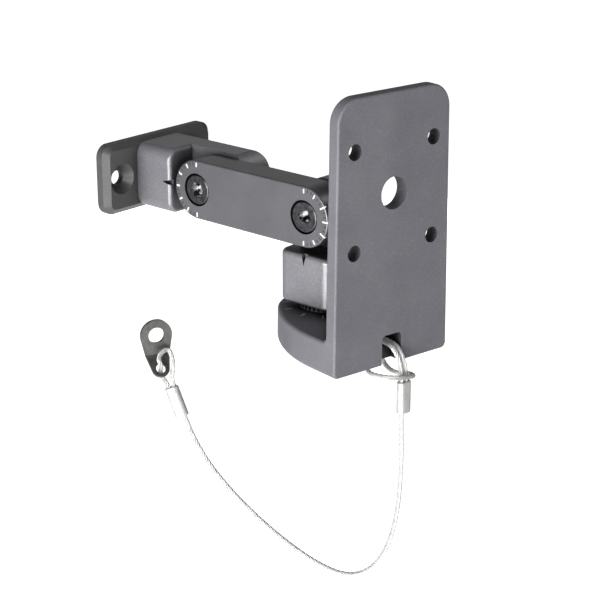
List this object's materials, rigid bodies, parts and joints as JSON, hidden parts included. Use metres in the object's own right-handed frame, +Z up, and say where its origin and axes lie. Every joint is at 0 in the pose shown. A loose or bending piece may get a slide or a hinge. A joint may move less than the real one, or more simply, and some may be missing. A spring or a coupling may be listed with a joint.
{
  "type": "speaker wall bracket",
  "caption": "Cast wall bracket for a loudspeaker: wall plate, arm between toothed tilt joints, toothed swivel, drilled speaker plate and a safety wire rope.",
  "frame": {"origin": "centre of the wall plate's back face, which lies on the wall", "axes": "+Y points into the wall, so the bracket stands out along -Y; +X is to the right for someone who faces the wall; +Z is up"},
  "size_m": [0.078, 0.1498, 0.2113],
  "materials": {
    "cast_grey": "satin powder coat, fine texture",
    "black_steel": "black oxide",
    "zinc_steel": "zinc plated",
    "wire": "bright stranded wire",
    "bare_aluminium": "bright",
    "dark_steel": "dull"
  },
  "bodies": {
    "wall": {"wall_plate": "cast_grey", "wall_block": "cast_grey", "wall_block_screw_upper": "zinc_steel", "wall_block_screw_lower": "zinc_steel", "wall_pivot_screw": "black_steel", "wall_pivot_washer": "black_steel", "wall_pivot_nut": "zinc_steel"},
    "arm": {"arm": "cast_grey"},
    "front": {"front_block": "cast_grey", "front_pivot_screw": "black_steel", "front_pivot_washer": "black_steel", "front_pivot_nut": "zinc_steel", "pan_screw": "black_steel", "pan_washer": "black_steel"},
    "speaker": {"speaker_plate": "cast_grey", "rope_hitch": "wire", "rope_span": "wire", "rope_eye": "wire", "ferrule_speaker": "bare_aluminium", "ferrule_lug": "bare_aluminium", "lug": "dark_steel"}
  },
  "joints": [
    {"name": "wall_tilt", "type": "hinge", "parent": "wall", "child": "arm", "pos_m": [0, -0.042, 0], "axis": [1, 0, 0], "range_deg": [-60, 75]},
    {"name": "front_tilt", "type": "hinge", "parent": "arm", "child": "front", "pos_m": [0, -0.102, 0], "axis": [-1, 0, 0], "range_deg": [0, 90]},
    {"name": "pan", "type": "hinge", "parent": "front", "child": "speaker", "pos_m": [0, -0.102, -0.0404], "axis": [0, 0, 1], "range_deg": [-80, 100]}
  ]
}
